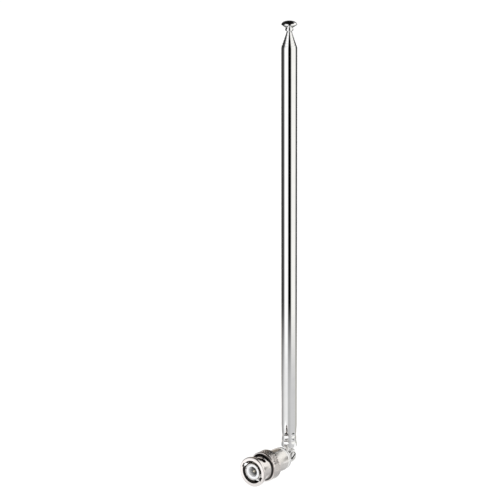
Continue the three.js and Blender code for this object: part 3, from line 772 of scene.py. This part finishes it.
track_width = 2.2
track_turn = 97
track_start = 2.7
track_end = 5.0
track_angles = (154, -26)
entry_outside = nut_bore + 1.05
track_steps = 30
overcut = 0.5
cut_inside = nut_bore - overcut
cut_outside = rim_radius + overcut
cut_middle = (cut_inside + cut_outside) / 2
cut_length = cut_outside - cut_inside
for start in map(math.radians, track_angles):
    tool = bmesh.new()
    bmesh.ops.create_grid(tool, x_segments=1, y_segments=1, size=0.5, matrix=(
        Matrix.Rotation(-start, 4, "Y")
        @ Matrix.Translation((cut_middle, nut_low.y + track_start, 0))
        @ Matrix.Diagonal((cut_length, track_width, 1, 1))))
    bmesh.ops.spin(tool, geom=tool.verts[:] + tool.edges[:] + tool.faces[:], cent=(0, 0, 0),
                   axis=plug_axis, dvec=(0, (track_end - track_start) / track_steps, 0),
                   angle=math.radians(track_turn), steps=track_steps)
    nut = machined(nut, closed(tool))
    entry = bmesh.new()
    bmesh.ops.create_cube(entry, size=1, matrix=(
        Matrix.Rotation(-start, 4, "Y")
        @ Matrix.Translation((entry_outside / 2, nut_low.y + track_start / 2 - overcut, 0))
        @ Matrix.Diagonal((entry_outside, track_start + 2 * overcut, track_width, 1))))
    nut = machined(nut, entry)
    for angle, at in ((start, track_start), (start - math.radians(track_turn), track_end)):
        drill = bmesh.new()
        bmesh.ops.create_cone(drill, cap_ends=True, segments=40, radius1=track_width / 2,
                              radius2=track_width / 2, depth=cut_length, matrix=(
                                  Matrix.Rotation(-angle, 4, "Y")
                                  @ Matrix.Translation((cut_middle, nut_low.y + at, 0))
                                  @ Matrix.Rotation(math.radians(90), 4, "Y")))
        nut = machined(nut, drill)

valleys = []
for corner in nut.verts:
    radius = math.hypot(corner.co.x, corner.co.z)
    if abs(radius - grip_radius) > 0.01 or not knurl_front - 0.01 < corner.co.y < knurl_rear + 0.01:
        continue
    column = round(math.atan2(corner.co.z, corner.co.x) / (2 * math.pi) * plug_steps)
    row = round((corner.co.y - knurl_front) / (knurl_rear - knurl_front) * knurl_rows)
    groove = max(abs(((column + side * row) % 4) / 2 - 1) for side in (-1, 1))
    depth = knurl_depth * groove * min(1, min(row, knurl_rows - row) / 1.5)
    corner.co.x *= 1 - depth / radius
    corner.co.z *= 1 - depth / radius
    if depth > 0.9 * knurl_depth:
        valleys.append(corner)
bmesh.ops.connect_verts(nut, verts=valleys)
nut_nickel = plated("nut_nickel", (0.93, 0.885, 0.865), (0.87, 0.82, 0.795), 0.10, 0.20)
tree = nut_nickel.node_tree
# Painted shade in the bore and the knurl's grooves, and a painted dark reflection in the hollow in
# front of the grip, mixed into the colour.
parts = object_place(tree)
flat = node(tree, "CombineXYZ", {"X": parts["X"], "Z": parts["Z"]}).outputs[0]
reach = node(tree, "VectorMath", {0: flat}, operation="LENGTH").outputs["Value"]
in_groove = graded(tree, reach, ((grip_radius - knurl_depth) * mm, (grip_radius - 0.06) * mm),
                   (0.2, 0.0))
past_front = worked(tree, "GREATER_THAN", parts["Y"], knurl_front * mm)
before_rear = worked(tree, "LESS_THAN", parts["Y"], knurl_rear * mm)
on_grip = worked(tree, "MULTIPLY", past_front, before_rear)
groove_shade = worked(tree, "MULTIPLY", in_groove, on_grip)
in_bore = graded(tree, reach, ((nut_mouth - 0.06) * mm, (nut_mouth + 0.02) * mm), (0.98, 0.0))
hollow_front = grip_front - fillet
before_grip = graded(tree, parts["Y"], ((hollow_front + 0.25) * mm, (hollow_front + 0.4) * mm),
                     (0.0, 0.95))
below_grip = graded(tree, reach, ((grip_radius - 0.7) * mm, (grip_radius - 0.5) * mm), (1.0, 0.0))
in_hollow = worked(tree, "MULTIPLY", before_grip, below_grip)
dark = worked(tree, "MAXIMUM", worked(tree, "MAXIMUM", groove_shade, in_bore), in_hollow)
mix_painted_shade(nut_nickel, dark, (0.02, 0.017, 0.015))
piece = finished("coupling_nut_knurled", nut, nut_nickel, sharp=26)
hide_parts("coupling_nut")
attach(piece, "nut")

# ---- Insulating bush ----------------------------------------------------------------------
# A white nylon bush pressed into the shell's rear. Its flange keeps the live elbow off the
# shell and shows as a pale ring.
yoke_low = box_mm("yoke")[0]
stud_radius = 1.75
nylon = moulded("white_nylon", ((0.80, 0.79, 0.77), (0.87, 0.865, 0.85)),
                (0.35, 0.7), (0.32, 0.5), scale=500.0)[0]
bush = turned([
    (stud_radius + press_gap, bush_low.y),
    (bush_bore - press_gap, bush_low.y, 0.2),
    (bush_bore - press_gap, shell_high.y + face_gap),
    (bush_high.x, shell_high.y + face_gap, 0.2),
    (bush_high.x, bush_high.y, 0.25),
    (stud_radius + press_gap, bush_high.y),
])
piece = finished("insulating_bush_moulded", bush, nylon)
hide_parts("insulating_bush")
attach(piece, "plug")

# ---- Yoke ---------------------------------------------------------------------------------
# The elbow's fixed half, turned from brass and nickel plated: a stud through the bush, a disc
# against it, and a round head with two flats, slotted for the mast's tongue.
yoke_nickel = plated("yoke_nickel", (0.97, 0.965, 0.96), (0.93, 0.925, 0.92), 0.24, 0.36)
disc_front = bush_high.y + face_gap
disc_rear = disc_front + 1.1
stud_bore = 0.63
stud_bore_floor = yoke_low.y + 2.4
head_radius = 3.5
yoke_neck = 2.7
flat_half = 2.2
tongue_half = 1.0
slot_half = tongue_half + face_gap
tongue_eye = 2.9
pin = pin_place / mm
pin_hole = 1.28
head_join = math.asin(yoke_neck / head_radius)
profile = [
    (0, stud_bore_floor),
    (stud_bore, stud_bore_floor),
    (stud_bore, yoke_low.y),
    (stud_radius, yoke_low.y, 0.15),
    (stud_radius, disc_front),
    (bush_high.x, disc_front, 0.12),
    (bush_high.x, disc_rear, 0.35),
    (yoke_neck, disc_rear, 0.25),
]
head_arcs = 40
for step in range(head_arcs + 1):
    angle = head_join + (math.pi - head_join) * step / head_arcs
    profile.append((head_radius * math.sin(angle) if step < head_arcs else 0,
                    pin - head_radius * math.cos(angle)))
head = turned(profile)
for side in (-1, 1):
    grinder = bmesh.new()
    bmesh.ops.create_cube(grinder, size=1, matrix=Matrix.Translation(
        (side * (flat_half + head_radius / 2), pin, 0))
        @ Matrix.Diagonal((head_radius, 2 * head_radius, 4 * head_radius, 1)))
    head = machined(head, grinder)
slitter = bmesh.new()
slitter_length = 10
slot_floor = pin - tongue_eye - 0.35
bmesh.ops.create_cube(slitter, size=1, matrix=(
    Matrix.Translation((0, slot_floor + slitter_length / 2, 0))
    @ Matrix.Diagonal((2 * slot_half, slitter_length, 4 * head_radius, 1))))
head = machined(head, slitter)
drill = bmesh.new()
across_pin = Matrix.Translation((0, pin, 0)) @ Matrix.Rotation(math.radians(90), 4, "Y")
bmesh.ops.create_cone(drill, cap_ends=True, segments=64, radius1=pin_hole, radius2=pin_hole,
                      depth=4 * head_radius, matrix=across_pin)
head = machined(head, drill)
corners = [edge for edge in head.edges if edge.is_manifold and edge.calc_face_angle(0) > 0.6
           and min(corner.co.y for corner in edge.verts) > disc_rear + 0.4]
bmesh.ops.bevel(head, geom=corners, offset=0.12, offset_type="OFFSET", segments=3, profile=0.5,
                affect="EDGES", clamp_overlap=True, material=-1)
piece = finished("yoke_slotted", head, yoke_nickel)
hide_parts("yoke")
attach(piece, "plug")

# ---- Hinge screw --------------------------------------------------------------------------
# A slotted cheese-head screw through the yoke and the tongue. It sets the elbow's friction and
# sits with its head on the yoke's right-hand flat. Its slot is painted black as shade.
screw_steel = plated("screw_steel", (0.86, 0.855, 0.85), (0.74, 0.735, 0.73), 0.16, 0.3)
screw_radius = 1.25
screw_low, screw_high = box_mm("hinge_screw")
head_seat = flat_half + press_gap
screw_head = 1.95
slit_width = 0.9
slit_depth = 0.45
slit_angle = 34
screw = turned([
    (0, screw_low.x),
    (screw_radius, screw_low.x, 0.25),
    (screw_radius, head_seat),
    (screw_head, head_seat, 0.08),
    (screw_head, head_seat + 0.36, 0.15),
    (1.46, head_seat + 0.58, 0.25),
    (0, screw_high.x),
], steps=72)
slit = bmesh.new()
bmesh.ops.create_cube(slit, size=1, matrix=Matrix.Translation((0, screw_high.x, 0))
                      @ Matrix.Rotation(math.radians(slit_angle), 4, "Y")
                      @ Matrix.Diagonal((4 * screw_head, 2 * slit_depth, slit_width, 1)))
screw = machined(screw, slit)
bmesh.ops.transform(screw, matrix=Matrix.Translation((0, pin, 0))
                    @ Matrix.Rotation(math.radians(90), 4, "X")
                    @ Matrix.Rotation(math.radians(90), 4, "Y")
                    @ Matrix.Rotation(math.radians(90), 4, "X"), verts=screw.verts[:])
tree = screw_steel.node_tree
parts = object_place(tree)
flat = node(tree, "CombineXYZ", {"Y": parts["Y"], "Z": parts["Z"]}).outputs[0]
from_pin = node(tree, "VectorMath", {0: flat, 1: (0, pin_place, 0)},
                operation="DISTANCE").outputs["Value"]
# Painted shade: the slot below the crown is mixed to near-black.
under_crown = worked(tree, "LESS_THAN", parts["X"], (screw_high.x - 0.24) * mm)
within_head = worked(tree, "LESS_THAN", from_pin, (screw_head - 0.03) * mm)
in_slit = worked(tree, "MULTIPLY", under_crown, within_head)
mix_painted_shade(screw_steel, in_slit, (0.012, 0.012, 0.012))
piece = finished("hinge_screw_slotted", screw, screw_steel)
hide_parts("hinge_screw")
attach(piece, "plug")

# ---- Foot plug ----------------------------------------------------------------------------
# Nickel-plated brass: a solid plug that the tube is crimped on, with a flat tongue below it
# that turns on the screw.
plug_high = box_mm("foot_plug")[1]
tube_low, tube_high = box_mm("tube_1")
tube_foot = tube_low.z
tongue_neck = 1.4
foot_radius = 3.27
waist_start = 1.9
waist_full = 4.4
waist_release = 6.1
waist_end = 11.5
waist_depth = 0.215


def waist(height):
    """How far the crimped foot is drawn in at a height above the tube's end."""
    if height < waist_full:
        share = min(1, max(0, (height - waist_start) / (waist_full - waist_start)))
    else:
        share = min(1, max(0, (waist_end - height) / (waist_end - waist_release)))
    return waist_depth * share * share * (3 - 2 * share)


crimp_zone = 12
crimp_wall = 0.11
crimp_wall_top = 9
profile = [(0, tube_foot), (foot_radius, tube_foot, 0.3)]
for step in range(1, crimp_zone + 1):
    profile.append((foot_radius - waist(step) - crimp_wall * (step < crimp_wall_top),
                    tube_foot + step))
foot = turned(profile + [
    (foot_radius, plug_high.z, 0.2),
    (0, plug_high.z),
], axis=mast_axis, steps=96)
tongue = bmesh.new()
bmesh.ops.create_cone(tongue, cap_ends=True, segments=72, radius1=tongue_eye,
                      radius2=tongue_eye, depth=2 * tongue_half, matrix=across_pin)
shank = bmesh.new()
bmesh.ops.create_cube(shank, size=1, matrix=Matrix.Translation((0, pin, tube_foot / 2 + 0.5))
                      @ Matrix.Diagonal((2 * tongue_half, 2 * tongue_neck, tube_foot + 1, 1)))
tongue = machined(tongue, shank, "UNION")
drill = bmesh.new()
bmesh.ops.create_cone(drill, cap_ends=True, segments=64, radius1=pin_hole, radius2=pin_hole,
                      depth=8 * tongue_half, matrix=across_pin)
tongue = machined(tongue, drill)
foot = machined(foot, tongue, "UNION")
piece = finished("foot_plug_tongue", foot, yoke_nickel)
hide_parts("foot_plug")
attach(piece, "mast_1")

# ---- Mast tubes ---------------------------------------------------------------------------
# Six drawn brass tubes, chromium plated and polished, each with its top rolled in to a lip that
# keeps the next one straight. The largest is crimped on the foot plug in two rows of dimples,
# whose overhanging upper edges are darkened with painted shade.
chrome = plated("mast_chrome", (0.985, 0.985, 0.985), (0.955, 0.955, 0.96), 0.015, 0.05,
                mark_depth=0.0006, along=(2600, 2600, 18))
tube_steps = 120
outer_wall = 0.3
tube_wall = 0.22
lip_gap = 0.05
lip_land = 0.17
crimp_rows = (2.9, 5.9)
crimp_ball = 2.6
crimp_depth = 0.34
crimp_angle = -77
crimp_pitch = 60
crimp_cuts = 79
shoulder_rise = 1.18
tube_length = 189.3
section_radii = [3.6, 3.12, 2.72, 2.32, 1.92, 1.52, 1.12]
radius = section_radii[0]
shoulder = tube_foot + tube_length
lip = section_radii[1] + lip_gap
inner_waist = [(radius - outer_wall - waist(height) - crimp_wall * (height < crimp_wall_top),
                tube_foot + height) for height in range(crimp_zone, 0, -1)]
tube = turned([
    (radius - outer_wall, tube_foot, 0.05),
    (radius, tube_foot, 0.1),
    (radius, tube_foot + crimp_zone),
    (radius, shoulder, 0.25),
    (lip + lip_land, tube_high.z, 0.04),
    (lip, tube_high.z),
    (lip, tube_high.z - lip_land),
    (radius - outer_wall, shoulder - lip_land),
    *inner_waist,
], axis=mast_axis, steps=tube_steps)
zone = [edge for edge in tube.edges
        if all(corner.co.z < tube_foot + crimp_zone + 0.01 for corner in edge.verts)
        and abs(edge.verts[0].co.z - edge.verts[1].co.z) > 5
        and math.hypot(edge.verts[0].co.x, edge.verts[0].co.y - pin) > radius - 0.01]
bmesh.ops.subdivide_edges(tube, edges=zone, cuts=crimp_cuts, use_grid_fill=True)
dimple = math.sqrt(crimp_ball ** 2 - (crimp_ball - crimp_depth) ** 2)
for corner in tube.verts:
    across = math.hypot(corner.co.x, corner.co.y - pin)
    if across < radius - 0.01 or corner.co.z > tube_foot + crimp_zone:
        continue
    around = math.degrees(math.atan2(corner.co.y - pin, corner.co.x))
    from_crimp = (around - crimp_angle + crimp_pitch / 2) % crimp_pitch - crimp_pitch / 2
    sink = waist(corner.co.z - tube_foot)
    for row in crimp_rows:
        away = math.hypot(math.radians(from_crimp) * radius, corner.co.z - tube_foot - row)
        if away < dimple:
            sink += math.sqrt(crimp_ball ** 2 - away ** 2) - (crimp_ball - crimp_depth)
    corner.co.x *= 1 - sink / across
    corner.co.y = pin + (corner.co.y - pin) * (1 - sink / across)
crimped_chrome = chrome.copy()
crimped_chrome.name = "mast_chrome_crimped"
tree = crimped_chrome.node_tree
# Painted shade: faces that lean downwards, under the dimples' upper edges, are mixed towards black.
lean = node(tree, "SeparateXYZ", {"Vector": node(tree, "TexCoord").outputs["Normal"]})
overhang = graded(tree, lean.outputs["Z"], (-0.3, -0.12), (0.95, 0.0))
mix_painted_shade(crimped_chrome, overhang, (0.02, 0.02, 0.02))
piece = finished("tube_1_crimped", tube, crimped_chrome)
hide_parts("tube_1")
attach(piece, "mast_1")

spring_seat = 0.06
spring_room = 20.1
end_lip = 1.2
end_swell = 0.03
for index in range(1, 6):
    node_name = f"tube_{index + 1}"
    low, high = box_mm(node_name)
    radius = section_radii[index]
    shoulder_at = shoulder + index * shoulder_rise
    lip = section_radii[index + 1] + lip_gap
    seat = radius - spring_seat
    seat_bottom = low.z + end_lip
    seat_top = seat_bottom + spring_room
    tube = turned([
        (seat - tube_wall, low.z),
        (radius + end_swell, low.z, 0.05),
        (radius + end_swell, seat_bottom),
        (seat, seat_bottom),
        (seat, seat_top),
        (radius, seat_top + spring_seat),
        (radius, shoulder_at, 0.2),
        (lip + lip_land, high.z, 0.04),
        (lip, high.z),
        (lip, high.z - lip_land),
        (radius - tube_wall, shoulder_at - lip_land),
        (radius - tube_wall, seat_top + tube_wall),
        (seat - tube_wall, seat_top),
    ], axis=mast_axis, steps=96)
    piece = finished(f"tube_{index + 1}_drawn", tube, chrome)
    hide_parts(node_name)
    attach(piece, f"mast_{index + 1}")

# ---- Tip rod ------------------------------------------------------------------------------
# The innermost section is a solid brass rod, chromium plated, turned down near its foot for its
# spring and drilled at its top for the button's shank.
rod_low, rod_high = box_mm("tip_rod")
radius = section_radii[6]
seat = radius - spring_seat
seat_bottom = rod_low.z + end_lip
seat_top = seat_bottom + spring_room
button_shank = 0.672
button_hole_floor = rod_high.z - 6.05
rod = turned([
    (0, rod_low.z),
    (radius + end_swell, rod_low.z, 0.05),
    (radius + end_swell, seat_bottom),
    (seat, seat_bottom),
    (seat, seat_top),
    (radius, seat_top + spring_seat),
    (radius, rod_high.z, 0.05),
    (button_shank + press_gap, rod_high.z),
    (button_shank + press_gap, button_hole_floor),
    (0, button_hole_floor),
], axis=mast_axis, steps=72)
piece = finished("tip_rod_solid", rod, chrome)
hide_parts("tip_rod")
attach(piece, "mast_7")

# ---- Tip button ---------------------------------------------------------------------------
# A mushroom button turned from brass and chromium plated, pressed into the rod: a bead to pull
# by, a coned underside, a thin edge and a low crown.
button_low, button_high = box_mm("tip_button")
button_radius = button_high.x
bead_radius = 1.85
seat = rod_high.z + face_gap
collar_top = seat + 0.3
bead_top = collar_top + 1.6
edge_bottom = bead_top + 1.3
edge_top = edge_bottom + 0.4
profile = [
    (0, button_low.z),
    (button_shank, button_low.z, 0.1),
    (button_shank, seat),
    (radius, seat),
    (radius, collar_top, 0.1),
    (bead_radius, collar_top + 0.3, 0.4),
    (bead_radius, bead_top - 0.4, 0.4),
    (bead_radius - 0.35, bead_top, 0.05),
    (button_radius - 0.15, edge_bottom, 0.1),
    (button_radius, edge_bottom + 0.15, 0.1),
    (button_radius, edge_top - 0.1, 0.15),
]
crown = button_high.z - edge_top
crown_arcs = 14
for step in range(1, crown_arcs + 1):
    angle = math.pi / 2 * step / crown_arcs
    profile.append(((button_radius - 0.12) * math.cos(angle) if step < crown_arcs else 0,
                    edge_top + crown * math.sin(angle)))
button = turned(profile, axis=mast_axis, steps=96)
piece = finished("tip_button_crowned", button, chrome)
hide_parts("tip_button")
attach(piece, "mast_7")

# ---- Friction springs ---------------------------------------------------------------------
# Thin split sleeves of phosphor bronze, one in the seat near the foot of each sliding section,
# that press on the tube outside and hold the section where it is left.
spring_strip = 0.12
spring_fit = 0.015
spring_split = 40
spring_bronze = plated("spring_bronze", (0.80, 0.58, 0.40), (0.66, 0.45, 0.28), 0.22, 0.4)
for index in range(1, 7):
    low, high = box_mm(f"friction_spring_{index + 1}")
    inside = section_radii[index] - spring_seat + spring_fit
    outside = section_radii[index] - spring_seat + spring_strip
    sleeve = turned([
        (inside, low.z),
        (outside, low.z, 0.03),
        (outside, high.z, 0.03),
        (inside, high.z),
    ], axis=mast_axis, steps=64, sweep=360 - spring_split)
    bmesh.ops.rotate(sleeve, cent=(0, pin, 0), verts=sleeve.verts[:],
                     matrix=Matrix.Rotation(math.radians(spring_split / 2), 3, "Z"))
    piece = finished(f"friction_spring_{index + 1}_sleeve", sleeve, spring_bronze)
    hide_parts(f"friction_spring_{index + 1}")
    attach(piece, f"mast_{index + 1}")
